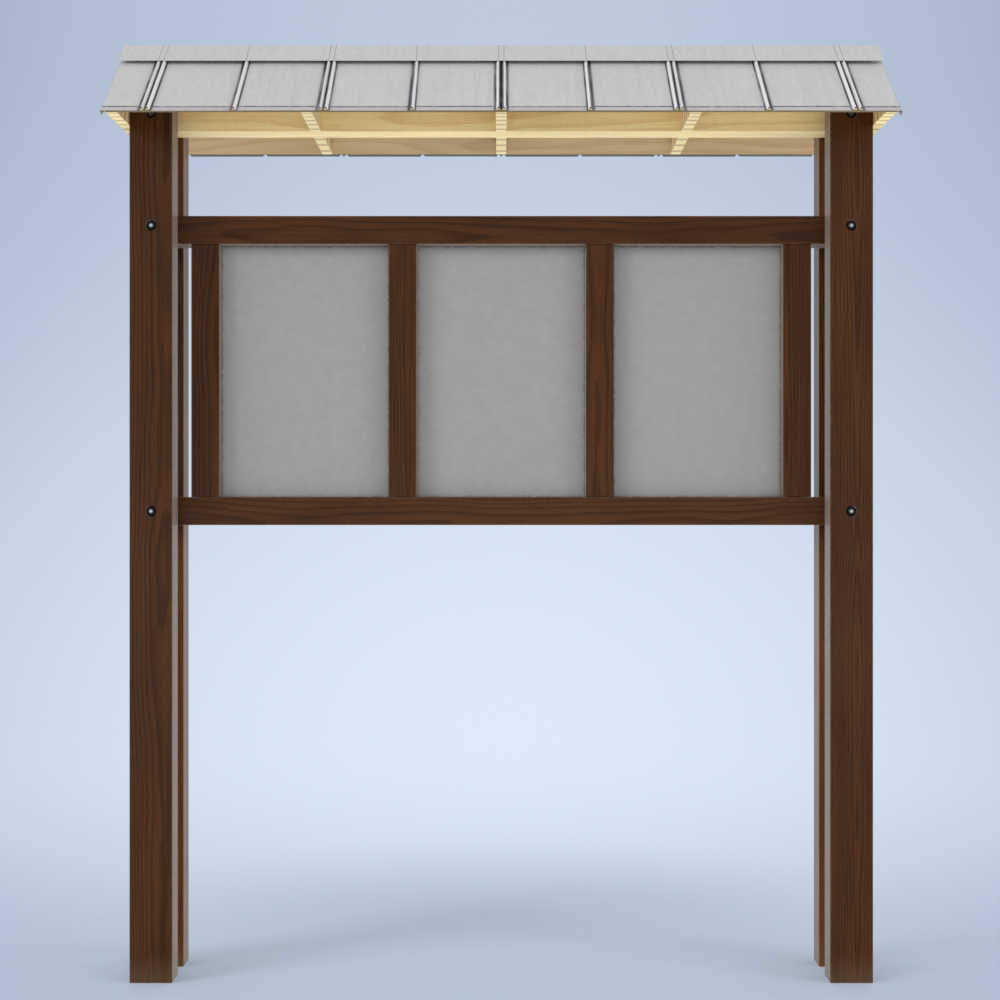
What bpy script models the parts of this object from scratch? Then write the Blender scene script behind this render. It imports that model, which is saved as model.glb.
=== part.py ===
"""Outdoor timber information kiosk.

Two pairs of posts are bolted through three long timbers. The lower two carry stiles and three
notice panels, and the top one carries triangular trusses, a plywood deck and a V-crimp metal roof.

Metres. The origin is on the ground under the middle of the roof, the front faces -Y, +X is to
the right of someone who stands in front, and +Z is up. The real object is built to inch sizes.
"""
import math

import bmesh
import bpy
from mathutils import Matrix, Vector

INCH = 0.0254

# Clearances
SEAT_GAP = 0.0003
PANEL_FACE_CLEARANCE = 0.0004
PANEL_EDGE_CLEARANCE = INCH / 16.0
BOLT_HOLE_CLEARANCE = INCH / 16.0
COUNTERBORE_CLEARANCE = INCH / 8.0
NOTCH_CLEARANCE = 0.0005
LAP_CLEARANCE = 0.0005

# Timber frame
POST_FACE = 6.0 * INCH
POST_DEPTH = 4.0 * INCH
RAIL_HEIGHT = 4.0 * INCH
RAIL_DEPTH = 4.0 * INCH
STILE_FACE = 4.0 * INCH
STILE_DEPTH = 4.0 * INCH
BAY_COUNT = 3
BAY_WIDTH = (24.0 + 1.0 / 16.0) * INCH
BAY_HEIGHT = 36.0 * INCH
STILE_TO_POST = (1.0 + 29.0 / 32.0) * INCH
LOWER_RAIL_TOP = 68.0 * INCH
UPPER_RAIL_TO_BEAM = 12.0 * INCH
EASED_EDGE = INCH / 8.0
EASED_EDGE_STEPS = 3
SAWN_ARRIS = INCH / 32.0

# Notice panels and the groove that holds them
PANEL_THICKNESS = 0.5 * INCH
GROOVE_DEPTH = 0.5 * INCH
TENON_FACE = 2.0 * INCH
PANEL_ARRIS = 0.0008

# Through bolts
BOLT_DIAMETER = 0.5 * INCH
HEX_ACROSS_FLATS = 0.75 * INCH
HEAD_HEIGHT = 5.0 / 16.0 * INCH
NUT_HEIGHT = 7.0 / 16.0 * INCH
HEX_CHAMFER_ANGLE = math.radians(30.0)
HEX_CHAMFER_CIRCLE = 0.95
WASHER_DIAMETER = 1.375 * INCH
WASHER_THICKNESS = 0.11 * INCH
THREAD_PROJECTION = 0.1 * INCH
BOLT_END_CHAMFER = 0.03 * INCH
RECESS_BELOW_FACE = 0.1 * INCH
BOLT_TURN_STEP = math.radians(17.0)
TOP_BOLT_OVER_BEAM_BOTTOM = 1.75 * INCH
ROUND_SEGMENTS = 40

# Trusses and deck
ROOF_PITCH = math.radians(40.0)
TRUSS_HEIGHT = 11.25 * INCH
TRUSS_THICKNESS = 1.5 * INCH
TRUSS_HEEL = 0.1 * INCH
TRUSS_STEPS_PER_SIDE = 2
DECK_THICKNESS = 19.0 / 32.0 * INCH
DECK_PAST_TRUSS = 0.1 * INCH

# Roofing sheets
SHEET_THICKNESS = 0.0008
SHEET_COVER = 24.0 * INCH
SHEET_PAST_DECK = 0.4 * INCH
SHEET_PAST_EAVE = 0.96 * INCH
KICK_BEFORE_EAVE = 0.32 * INCH
KICK_ANGLE = math.radians(3.5)
NARROWEST_STRIP = 3.0 * INCH
CRIMP_WIDTH = 0.77 * INCH
CRIMP_HEIGHT = 0.53 * INCH
CREST_HALF_WIDTH = 0.04 * INCH
CREST_DROP = 0.012 * INCH
LAP_UNDER = 0.25 * INCH
LAP_OVER = 0.1 * INCH
FLANGE_DEPTH = 0.8 * INCH
FLANGE_LEAN = math.radians(10.0)
FLANGE_RADIUS = 0.16 * INCH
FLANGE_STEPS = 3
SHEET_TO_RIDGE = 0.003

# Ridge cap
CAP_WING = 5.15 * INCH
CAP_THICKNESS = 0.001
CAP_BEND_RADIUS = 0.2 * INCH
CAP_BEND_STEPS = 4
CAP_BEAD_HEIGHT = 0.0007
CAP_BEAD_HALF_WIDTH = 0.12 * INCH

# Places that follow from the sizes above
OUTER_STILE_FACE = (BAY_COUNT * BAY_WIDTH + (BAY_COUNT + 1) * STILE_FACE) / 2.0
POST_INNER = OUTER_STILE_FACE + STILE_TO_POST
POST_OUTER = POST_INNER + POST_FACE
POST_CENTRE = POST_INNER + POST_FACE / 2.0
POST_NEAR = RAIL_DEPTH / 2.0 + SEAT_GAP
POST_FAR = POST_NEAR + POST_DEPTH
UPPER_RAIL_BOTTOM = LOWER_RAIL_TOP + BAY_HEIGHT
BEAM_BOTTOM = UPPER_RAIL_BOTTOM + RAIL_HEIGHT + UPPER_RAIL_TO_BEAM
BEAM_TOP = BEAM_BOTTOM + RAIL_HEIGHT
GROOVE_WIDTH = PANEL_THICKNESS + 2.0 * PANEL_FACE_CLEARANCE
LONG_TIMBERS = {
    "lower_rail": LOWER_RAIL_TOP - RAIL_HEIGHT,
    "upper_rail": UPPER_RAIL_BOTTOM,
    "top_beam": BEAM_BOTTOM,
}
BOLT_ROWS = {
    "lower": LOWER_RAIL_TOP - RAIL_HEIGHT / 2.0,
    "upper": UPPER_RAIL_BOTTOM + RAIL_HEIGHT / 2.0,
    "top": BEAM_BOTTOM + TOP_BOLT_OVER_BEAM_BOTTOM,
}
HOLE_RADIUS = (BOLT_DIAMETER + BOLT_HOLE_CLEARANCE) / 2.0
COUNTERBORE_RADIUS = (WASHER_DIAMETER + COUNTERBORE_CLEARANCE) / 2.0
WASHER_STACK = 2.0 * SEAT_GAP + WASHER_THICKNESS
FRONT_COUNTERBORE_DEPTH = WASHER_STACK + HEAD_HEIGHT + RECESS_BELOW_FACE
REAR_COUNTERBORE_DEPTH = WASHER_STACK + NUT_HEIGHT + THREAD_PROJECTION + RECESS_BELOW_FACE
FRONT_SEAT = -(POST_FAR - FRONT_COUNTERBORE_DEPTH)
REAR_SEAT = POST_FAR - REAR_COUNTERBORE_DEPTH

SIN_PITCH = math.sin(ROOF_PITCH)
COS_PITCH = math.cos(ROOF_PITCH)
TAN_PITCH = math.tan(ROOF_PITCH)
TRUSS_APEX = BEAM_BOTTOM + TRUSS_HEIGHT
EAVE_Y = TRUSS_HEIGHT / TAN_PITCH
EAVE_REACH = (EAVE_Y - SEAT_GAP * SIN_PITCH) / COS_PITCH
END_TRUSS_CENTRE = POST_OUTER + SEAT_GAP + TRUSS_THICKNESS / 2.0
DECK_HALF_LENGTH = END_TRUSS_CENTRE + TRUSS_THICKNESS / 2.0 + DECK_PAST_TRUSS
ROOF_HALF_LENGTH = DECK_HALF_LENGTH + SHEET_PAST_DECK
DECK_TOP = SEAT_GAP + DECK_THICKNESS
SHEET_SEAT = DECK_TOP + SEAT_GAP
LAP_LIFT = SHEET_THICKNESS + LAP_CLEARANCE
CREST_TOP = SHEET_SEAT + LAP_LIFT + CRIMP_HEIGHT + SHEET_THICKNESS
CAP_SEAT = CREST_TOP + SEAT_GAP - CAP_BEAD_HEIGHT
LAPS_PER_SIDE = int((ROOF_HALF_LENGTH - NARROWEST_STRIP) // SHEET_COVER)
LAP_PLACES = [k * SHEET_COVER for k in range(-LAPS_PER_SIDE, LAPS_PER_SIDE + 1)]

# Finishes: linear colour, metallic, roughness
BROWN_STAIN = ((0.0685, 0.0262, 0.0110), 0.0, 0.45)
NATURAL_TIMBER = ((0.60, 0.42, 0.22), 0.0, 0.65)
PLYWOOD = ((0.48, 0.33, 0.17), 0.0, 0.75)
GREY_BOARD = ((0.33, 0.33, 0.33), 0.0, 0.6)
ROOF_METAL = ((0.55, 0.54, 0.545), 0.3, 0.45)
ZINC_STEEL = ((0.45, 0.46, 0.47), 0.9, 0.4)


def clear_scene():
    for old in list(bpy.data.objects):
        bpy.data.objects.remove(old, do_unlink=True)


def finish(piece, look):
    """Gives the piece a material of its own."""
    colour, metallic, roughness = look
    material = bpy.data.materials.new(piece.name + "_finish")
    material.use_nodes = True
    shader = material.node_tree.nodes["Principled BSDF"]
    shader.inputs["Base Color"].default_value = (*colour, 1.0)
    shader.inputs["Metallic"].default_value = metallic
    shader.inputs["Roughness"].default_value = roughness
    piece.data.materials.append(material)


def object_from_bmesh(name, mesh_data, location=(0.0, 0.0, 0.0)):
    """Turns a bmesh into a placed object with its faces outwards."""
    bmesh.ops.recalc_face_normals(mesh_data, faces=mesh_data.faces)
    mesh = bpy.data.meshes.new(name)
    mesh_data.to_mesh(mesh)
    mesh_data.free()
    piece = bpy.data.objects.new(name, mesh)
    piece.location = location
    bpy.context.collection.objects.link(piece)
    return piece


def block(name, low, high):
    """A plain box between two corners, with its origin in its middle."""
    low, high = Vector(low), Vector(high)
    mesh_data = bmesh.new()
    bmesh.ops.create_cube(mesh_data, size=1.0, matrix=Matrix.Diagonal((*(high - low), 1.0)))
    return object_from_bmesh(name, mesh_data, (low + high) / 2.0)


def ease_edges(piece, width, steps):
    bevel = piece.modifiers.new("eased_edges", "BEVEL")
    bevel.width = width
    bevel.segments = steps
    bevel.limit_method = "ANGLE"
    bevel.angle_limit = math.radians(20.0)


def combine(piece, other, operation):
    """Cuts or joins another solid, which becomes a helper that isn't part of the model."""
    boolean = piece.modifiers.new(other.name, "BOOLEAN")
    boolean.operation = operation
    boolean.object = other
    boolean.solver = "EXACT"
    other.hide_render = True
    other.display_type = "WIRE"


def shade_round(piece):
    piece.data.shade_smooth()
    piece.data.set_sharp_from_angle(angle=math.radians(35.0))


def turned(name, profile, location, closed_ring=False):
    """Turns (radius, y) points about the Y axis. A closed ring joins its last point to its first."""
    mesh_data = bmesh.new()
    rings = []
    for radius, y in profile:
        if radius == 0.0:
            rings.append([mesh_data.verts.new((0.0, y, 0.0))])
            continue
        ring = []
        for step in range(ROUND_SEGMENTS):
            angle = 2.0 * math.pi * step / ROUND_SEGMENTS
            ring.append(mesh_data.verts.new((radius * math.cos(angle), y, radius * math.sin(angle))))
        rings.append(ring)
    pairs = list(zip(rings, rings[1:]))
    if closed_ring:
        pairs.append((rings[-1], rings[0]))
    for first, second in pairs:
        for step in range(ROUND_SEGMENTS):
            after = (step + 1) % ROUND_SEGMENTS
            if len(first) == 1:
                mesh_data.faces.new((first[0], second[step], second[after]))
            elif len(second) == 1:
                mesh_data.faces.new((first[step], second[0], first[after]))
            else:
                mesh_data.faces.new((first[step], second[step], second[after], first[after]))
    piece = object_from_bmesh(name, mesh_data, location)
    shade_round(piece)
    return piece


def prism_x(name, outline, low_x, high_x):
    """Extrudes a (y, z) outline along X."""
    mesh_data = bmesh.new()
    near = [mesh_data.verts.new((low_x, y, z)) for y, z in outline]
    face = mesh_data.faces.new(near)
    extruded = bmesh.ops.extrude_face_region(mesh_data, geom=[face])
    moved = [part for part in extruded["geom"] if isinstance(part, bmesh.types.BMVert)]
    bmesh.ops.translate(mesh_data, verts=moved, vec=(high_x - low_x, 0.0, 0.0))
    return object_from_bmesh(name, mesh_data)


def bay_centres():
    first = -(BAY_COUNT - 1) / 2.0
    return [(first + k) * (BAY_WIDTH + STILE_FACE) for k in range(BAY_COUNT)]


def stile_centres():
    first = -BAY_COUNT / 2.0
    return [(first + k) * (BAY_WIDTH + STILE_FACE) for k in range(BAY_COUNT + 1)]


def bolt_places():
    """Every through bolt as (name, x, z)."""
    places = []
    for row, z in BOLT_ROWS.items():
        for hand, side in (("left", -1.0), ("right", 1.0)):
            places.append((f"{row}_{hand}", side * POST_CENTRE, z))
    return places


def make_bolt_hole_cutters():
    """One stepped cutter a bolt: a counterbore, the hole and a counterbore again."""
    past_face = POST_FAR + REAR_COUNTERBORE_DEPTH
    profile = [
        (0.0, -past_face), (COUNTERBORE_RADIUS, -past_face), (COUNTERBORE_RADIUS, FRONT_SEAT),
        (HOLE_RADIUS, FRONT_SEAT), (HOLE_RADIUS, REAR_SEAT),
        (COUNTERBORE_RADIUS, REAR_SEAT), (COUNTERBORE_RADIUS, past_face), (0.0, past_face),
    ]
    return {
        name: turned(name + "_hole_cutter", profile, (x, 0.0, z)) for name, x, z in bolt_places()
    }


def make_posts(hole_cutters):
    for depth_name, y_side in (("front", -1.0), ("rear", 1.0)):
        for hand, x_side in (("left", -1.0), ("right", 1.0)):
            xs = sorted((x_side * POST_INNER, x_side * POST_OUTER))
            ys = sorted((y_side * POST_NEAR, y_side * POST_FAR))
            post = block(f"{depth_name}_{hand}_post", (xs[0], ys[0], 0.0), (xs[1], ys[1], BEAM_TOP))
            ease_edges(post, EASED_EDGE, EASED_EDGE_STEPS)
            for name, cutter in hole_cutters.items():
                if name.endswith(hand):
                    combine(post, cutter, "DIFFERENCE")
            finish(post, BROWN_STAIN)


def make_long_timbers(hole_cutters):
    """The two rails and the top beam, as long as the posts reach."""
    groove_half = stile_centres()[-1] + TENON_FACE / 2.0 + PANEL_EDGE_CLEARANCE
    groove = block(
        "rail_groove_cutter",
        (-groove_half, -GROOVE_WIDTH / 2.0, LOWER_RAIL_TOP - GROOVE_DEPTH),
        (groove_half, GROOVE_WIDTH / 2.0, UPPER_RAIL_BOTTOM + GROOVE_DEPTH),
    )
    for name, bottom in LONG_TIMBERS.items():
        timber = block(
            name,
            (-POST_OUTER, -RAIL_DEPTH / 2.0, bottom),
            (POST_OUTER, RAIL_DEPTH / 2.0, bottom + RAIL_HEIGHT),
        )
        if name == "top_beam":
            ease_edges(timber, SAWN_ARRIS, 1)
            finish(timber, NATURAL_TIMBER)
        else:
            ease_edges(timber, EASED_EDGE, EASED_EDGE_STEPS)
            combine(timber, groove, "DIFFERENCE")
            finish(timber, BROWN_STAIN)
        row = name.split("_")[0]
        combine(timber, hole_cutters[row + "_left"], "DIFFERENCE")
        combine(timber, hole_cutters[row + "_right"], "DIFFERENCE")


def make_bay_groove_cutters():
    """The slot that each panel stands in, as deep into the stiles as into the rails."""
    half = BAY_WIDTH / 2.0 + GROOVE_DEPTH
    cutters = []
    for index, centre in enumerate(bay_centres()):
        cutters.append(block(
            f"bay_{index + 1}_groove_cutter",
            (centre - half, -GROOVE_WIDTH / 2.0, LOWER_RAIL_TOP - GROOVE_DEPTH),
            (centre + half, GROOVE_WIDTH / 2.0, UPPER_RAIL_BOTTOM + GROOVE_DEPTH),
        ))
    return cutters


def make_stiles(bay_cutters):
    """Uprights between the rails. Their stub tenons stand in the rails' panel groove."""
    names = ["left_outer_stile", "left_inner_stile", "right_inner_stile", "right_outer_stile"]
    tenon_reach = GROOVE_DEPTH - PANEL_EDGE_CLEARANCE
    for index, (name, centre) in enumerate(zip(names, stile_centres())):
        stile = block(
            name,
            (centre - STILE_FACE / 2.0, -STILE_DEPTH / 2.0, LOWER_RAIL_TOP + SEAT_GAP),
            (centre + STILE_FACE / 2.0, STILE_DEPTH / 2.0, UPPER_RAIL_BOTTOM - SEAT_GAP),
        )
        ease_edges(stile, SAWN_ARRIS, 1)
        tenon = block(
            name + "_tenon",
            (centre - TENON_FACE / 2.0, -PANEL_THICKNESS / 2.0, LOWER_RAIL_TOP - tenon_reach),
            (centre + TENON_FACE / 2.0, PANEL_THICKNESS / 2.0, UPPER_RAIL_BOTTOM + tenon_reach),
        )
        combine(stile, tenon, "UNION")
        for cutter in bay_cutters[max(index - 1, 0):index + 1]:
            combine(stile, cutter, "DIFFERENCE")
        finish(stile, BROWN_STAIN)


def make_panels():
    half_width = BAY_WIDTH / 2.0 + GROOVE_DEPTH - PANEL_EDGE_CLEARANCE
    bottom = LOWER_RAIL_TOP - GROOVE_DEPTH + SEAT_GAP
    top = UPPER_RAIL_BOTTOM + GROOVE_DEPTH - 2.0 * PANEL_EDGE_CLEARANCE
    for name, centre in zip(("left_panel", "centre_panel", "right_panel"), bay_centres()):
        panel = block(
            name,
            (centre - half_width, -PANEL_THICKNESS / 2.0, bottom),
            (centre + half_width, PANEL_THICKNESS / 2.0, top),
        )
        ease_edges(panel, PANEL_ARRIS, 1)
        finish(panel, GREY_BOARD)


def hexagon_with_chamfer(name, height, location, turn):
    """A hexagon along Y from 0 to its height, with the corners of its far face turned off."""
    mesh_data = bmesh.new()
    along_y = Matrix.Translation((0.0, height / 2.0, 0.0)) @ Matrix.Rotation(-math.pi / 2.0, 4, "X")
    corner = HEX_ACROSS_FLATS / 2.0 / math.cos(math.pi / 6.0)
    bmesh.ops.create_cone(
        mesh_data, cap_ends=True, segments=6, radius1=corner, radius2=corner, depth=height,
        matrix=Matrix.Rotation(turn, 4, "Y") @ along_y,
    )
    hexagon = object_from_bmesh(name, mesh_data, location)
    crown = HEX_CHAMFER_CIRCLE * HEX_ACROSS_FLATS / 2.0
    wide = HEX_ACROSS_FLATS
    shoulder = height - (wide - crown) * math.tan(HEX_CHAMFER_ANGLE)
    profile = [(0.0, -height), (wide, -height), (wide, shoulder), (crown, height), (0.0, height)]
    chamfer = turned(name + "_chamfer", profile, location)
    combine(hexagon, chamfer, "INTERSECT")
    return hexagon


def make_bolt(name, x, z, turn):
    """A hexagon bolt whose head is in the front counterbore, and whose end is in the rear one."""
    under_head = FRONT_SEAT - WASHER_STACK
    end = REAR_SEAT + WASHER_STACK + NUT_HEIGHT + THREAD_PROJECTION
    bolt = hexagon_with_chamfer(name + "_bolt", HEAD_HEIGHT, (x, under_head, z), turn)
    bolt.rotation_euler.z = math.pi
    bolt.modifiers[0].object.rotation_euler.z = math.pi
    radius = BOLT_DIAMETER / 2.0
    profile = [
        (0.0, under_head - HEAD_HEIGHT / 2.0), (radius, under_head - HEAD_HEIGHT / 2.0),
        (radius, end - BOLT_END_CHAMFER), (radius - BOLT_END_CHAMFER, end), (0.0, end),
    ]
    shank = turned(name + "_shank", profile, (x, 0.0, z))
    combine(bolt, shank, "UNION")
    finish(bolt, ZINC_STEEL)


def make_nut(name, x, z, turn):
    seat = REAR_SEAT + WASHER_STACK
    nut = hexagon_with_chamfer(name + "_nut", NUT_HEIGHT, (x, seat, z), turn)
    bore = BOLT_DIAMETER / 2.0 + SEAT_GAP
    low, high = -NUT_HEIGHT, 2.0 * NUT_HEIGHT
    profile = [(0.0, low), (bore, low), (bore, high), (0.0, high)]
    combine(nut, turned(name + "_nut_bore", profile, (x, seat, z)), "DIFFERENCE")
    finish(nut, ZINC_STEEL)


def make_washer(name, x, z, seat, side):
    near = seat + side * SEAT_GAP
    far = near + side * WASHER_THICKNESS
    inner, outer = HOLE_RADIUS, WASHER_DIAMETER / 2.0
    profile = [(inner, near), (outer, near), (outer, far), (inner, far)]
    finish(turned(name + "_washer", profile, (x, 0.0, z), closed_ring=True), ZINC_STEEL)


def make_fasteners():
    for index, (name, x, z) in enumerate(bolt_places()):
        make_bolt(name, x, z, index * BOLT_TURN_STEP)
        make_nut(name, x, z, -index * BOLT_TURN_STEP)
        make_washer(name + "_front", x, z, FRONT_SEAT, -1.0)
        make_washer(name + "_rear", x, z, REAR_SEAT, 1.0)


def make_trusses():
    """Solid triangles. The inner ones sit over the top beam, the end ones against the posts."""
    heel_y = EAVE_Y - TRUSS_HEEL / TAN_PITCH
    notch_y = RAIL_DEPTH / 2.0 + NOTCH_CLEARANCE
    notch_top = BEAM_TOP + SEAT_GAP
    half = TRUSS_THICKNESS / 2.0
    names = ["left_end_truss", "left_truss", "centre_truss", "right_truss", "right_end_truss"]
    for index, name in enumerate(names):
        centre = (index / TRUSS_STEPS_PER_SIDE - 1.0) * END_TRUSS_CENTRE
        slopes = [
            (heel_y, BEAM_BOTTOM), (heel_y, BEAM_BOTTOM + TRUSS_HEEL), (0.0, TRUSS_APEX),
            (-heel_y, BEAM_BOTTOM + TRUSS_HEEL), (-heel_y, BEAM_BOTTOM),
        ]
        notch = [
            (-notch_y, BEAM_BOTTOM), (-notch_y, notch_top),
            (notch_y, notch_top), (notch_y, BEAM_BOTTOM),
        ]
        outline = slopes if "end" in name else slopes + notch
        truss = prism_x(name, outline, centre - half, centre + half)
        ease_edges(truss, SAWN_ARRIS, 1)
        finish(truss, NATURAL_TIMBER)


def slope_point(side, x, reach, height):
    """A point by its distance down the slope from the trusses' apex and its height over them."""
    y = side * (reach * COS_PITCH + height * SIN_PITCH)
    return Vector((x, y, TRUSS_APEX - reach * SIN_PITCH + height * COS_PITCH))


def plumb_reach(y, height):
    """How far down the slope a plumb cut at y lies, at that height over the trusses."""
    return (y - height * SIN_PITCH) / COS_PITCH


def plumb_cut(side, y):
    """Puts the points of a section on a plumb cut at that y."""
    return lambda x, height: slope_point(side, x, plumb_reach(y, height), height)


def square_cut(side, reach, rise):
    """Puts the points of a section square to the slope, lifted by the rise."""
    return lambda x, height: slope_point(side, x, reach, height + rise)


def slope_solid(name, upper, lower, cuts):
    """A sheet or board on a slope: an upper and a lower row of (x, height) points, at each cut."""
    mesh_data = bmesh.new()
    upper_rows = [[mesh_data.verts.new(cut(x, height)) for x, height in upper] for cut in cuts]
    lower_rows = [[mesh_data.verts.new(cut(x, height)) for x, height in lower] for cut in cuts]
    around = upper_rows + lower_rows[::-1]
    for first, second in zip(around, around[1:] + around[:1]):
        for k in range(len(first) - 1):
            mesh_data.faces.new((first[k], first[k + 1], second[k + 1], second[k]))
    for k in range(len(cuts) - 1):
        for end in (0, -1):
            above = (upper_rows[k][end], upper_rows[k + 1][end])
            below = (lower_rows[k + 1][end], lower_rows[k][end])
            mesh_data.faces.new(above + below)
    return object_from_bmesh(name, mesh_data)


def make_decks():
    ends = (-DECK_HALF_LENGTH, DECK_HALF_LENGTH)
    upper = [(x, DECK_TOP) for x in ends]
    lower = [(x, SEAT_GAP) for x in ends]
    for name, side in (("front_deck", -1.0), ("rear_deck", 1.0)):
        cuts = (plumb_cut(side, SEAT_GAP / 2.0), square_cut(side, EAVE_REACH, 0.0))
        deck = slope_solid(name, upper, lower, cuts)
        finish(deck, PLYWOOD)


def crimp(centre, left_level, right_level):
    """One V rib, from the sheet's level on its left to the level on its right."""
    crest = max(left_level, right_level) + CRIMP_HEIGHT
    return [
        (centre - CRIMP_WIDTH / 2.0, left_level),
        (centre - CREST_HALF_WIDTH, crest - CREST_DROP),
        (centre, crest),
        (centre + CREST_HALF_WIDTH, crest - CREST_DROP),
        (centre + CRIMP_WIDTH / 2.0, right_level),
    ]


def double_crimp(centre, level):
    left = crimp(centre - CRIMP_WIDTH / 2.0, level, level)
    right = crimp(centre + CRIMP_WIDTH / 2.0, level, level)
    return left + right[1:]


def flange(side, level):
    """The sheet's outer edge, turned down past the deck's end, as (upper, lower) points."""
    turn_x = ROOF_HALF_LENGTH - FLANGE_RADIUS
    turn_height = level + SHEET_THICKNESS - FLANGE_RADIUS
    leg = FLANGE_DEPTH - FLANGE_RADIUS
    drawn_in = leg * math.tan(FLANGE_LEAN)
    tip_height = turn_height - leg
    upper = [(side * (ROOF_HALF_LENGTH - drawn_in), tip_height)]
    lower = [(side * (ROOF_HALF_LENGTH - drawn_in - SHEET_THICKNESS), tip_height)]
    for step in range(FLANGE_STEPS + 1):
        angle = math.pi / 2.0 * step / FLANGE_STEPS
        for points, radius in ((upper, FLANGE_RADIUS), (lower, FLANGE_RADIUS - SHEET_THICKNESS)):
            x = turn_x + radius * math.cos(angle)
            points.append((side * x, turn_height + radius * math.sin(angle)))
    return upper, lower


def strip_crimps(side, level):
    """A strip at the roof's end is ribbed as a whole sheet is, as far as it reaches."""
    centre = LAP_PLACES[-1] + SHEET_COVER / 2.0
    if ROOF_HALF_LENGTH - centre < NARROWEST_STRIP:
        return []
    return crimp(side * centre, level, level)


def sheet_rows():
    """The roof's sheets from left to right, each as an upper and a lower row of points.

    The right edge of each sheet lies over the left edge of the next, so a sheet steps up at its
    middle rib from the deck's level to the lap's.
    """
    lap_half = CRIMP_WIDTH
    over_end = (LAP_PLACES[0] + lap_half + LAP_OVER, LAP_LIFT)
    flange_upper, flange_lower = flange(-1.0, LAP_LIFT)
    ribs = strip_crimps(-1.0, LAP_LIFT) + double_crimp(LAP_PLACES[0], LAP_LIFT) + [over_end]
    rows = [(flange_upper + raised(ribs, SHEET_THICKNESS), flange_lower + ribs)]
    for left, right in zip(LAP_PLACES, LAP_PLACES[1:]):
        ribs = [(left - lap_half - LAP_UNDER, 0.0)] + double_crimp(left, 0.0)
        ribs += crimp((left + right) / 2.0, 0.0, LAP_LIFT) + double_crimp(right, LAP_LIFT)
        ribs.append((right + lap_half + LAP_OVER, LAP_LIFT))
        rows.append((raised(ribs, SHEET_THICKNESS), ribs))
    flange_upper, flange_lower = flange(1.0, 0.0)
    under_start = (LAP_PLACES[-1] - lap_half - LAP_UNDER, 0.0)
    ribs = [under_start] + double_crimp(LAP_PLACES[-1], 0.0) + strip_crimps(1.0, 0.0)
    rows.append((raised(ribs, SHEET_THICKNESS) + flange_upper[::-1], ribs + flange_lower[::-1]))
    return rows


def raised(points, rise):
    return [(x, height + rise) for x, height in points]


def make_roof_sheets():
    """Sheets from the ridge to past the eave, kicked out a little at the deck's lower edge."""
    kick_reach = EAVE_REACH - KICK_BEFORE_EAVE
    end_reach = EAVE_REACH + SHEET_PAST_EAVE
    rise = (end_reach - kick_reach) * math.tan(KICK_ANGLE)
    for slope_name, side in (("front", -1.0), ("rear", 1.0)):
        cuts = (
            plumb_cut(side, SHEET_TO_RIDGE),
            square_cut(side, kick_reach, 0.0),
            square_cut(side, end_reach, rise),
        )
        for index, (upper, lower) in enumerate(sheet_rows()):
            name = f"{slope_name}_roof_sheet_{index + 1}"
            sheet = slope_solid(name, raised(upper, SHEET_SEAT), raised(lower, SHEET_SEAT), cuts)
            finish(sheet, ROOF_METAL)


def crest_places():
    """Where the ridge cap lies on the crest of a rib."""
    places = []
    for lap in LAP_PLACES:
        places += [lap - CRIMP_WIDTH / 2.0, lap + CRIMP_WIDTH / 2.0]
    places += [(left + right) / 2.0 for left, right in zip(LAP_PLACES, LAP_PLACES[1:])]
    for side in (-1.0, 1.0):
        crest = strip_crimps(side, 0.0)[2:3]
        places += [x for x, _ in crest]
    return sorted(places)


def cap_section(lift, height):
    """The cap's bent section at one height over the trusses, from front edge to rear edge."""
    outer_height = CAP_SEAT + CAP_THICKNESS
    bend_z = TRUSS_APEX + (outer_height - CAP_BEND_RADIUS) / COS_PITCH
    radius = CAP_BEND_RADIUS + height - outer_height + lift
    wing = CAP_WING - outer_height * TAN_PITCH
    front = slope_point(-1.0, 0.0, wing, height + lift)
    rear = slope_point(1.0, 0.0, wing, height + lift)
    bend = []
    for step in range(CAP_BEND_STEPS + 1):
        angle = ROOF_PITCH * (2.0 * step / CAP_BEND_STEPS - 1.0)
        bend.append((radius * math.sin(angle), bend_z + radius * math.cos(angle)))
    return [(front.y, front.z)] + bend + [(rear.y, rear.z)]


def make_ridge_cap():
    """A bent sheet over both slopes, with a faint bead pressed in over each rib's crest."""
    stations = [(-ROOF_HALF_LENGTH, 0.0)]
    for place in crest_places():
        stations.append((place - CAP_BEAD_HALF_WIDTH, 0.0))
        stations.append((place, CAP_BEAD_HEIGHT))
        stations.append((place + CAP_BEAD_HALF_WIDTH, 0.0))
    stations.append((ROOF_HALF_LENGTH, 0.0))
    mesh_data = bmesh.new()
    loops = []
    for x, lift in stations:
        outline = cap_section(lift, CAP_SEAT + CAP_THICKNESS) + cap_section(lift, CAP_SEAT)[::-1]
        loops.append([mesh_data.verts.new((x, y, z)) for y, z in outline])
    count = len(loops[0])
    for first, second in zip(loops, loops[1:]):
        for k in range(count):
            after = (k + 1) % count
            mesh_data.faces.new((first[k], first[after], second[after], second[k]))
    for loop in (loops[0], loops[-1]):
        for k in range(count // 2 - 1):
            mesh_data.faces.new((loop[k], loop[k + 1], loop[count - 2 - k], loop[count - 1 - k]))
    cap = object_from_bmesh("ridge_cap", mesh_data)
    finish(cap, ROOF_METAL)


def main():
    clear_scene()
    hole_cutters = make_bolt_hole_cutters()
    make_posts(hole_cutters)
    make_long_timbers(hole_cutters)
    make_stiles(make_bay_groove_cutters())
    make_panels()
    make_fasteners()
    make_trusses()
    make_decks()
    make_roof_sheets()
    make_ridge_cap()


main()
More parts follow.
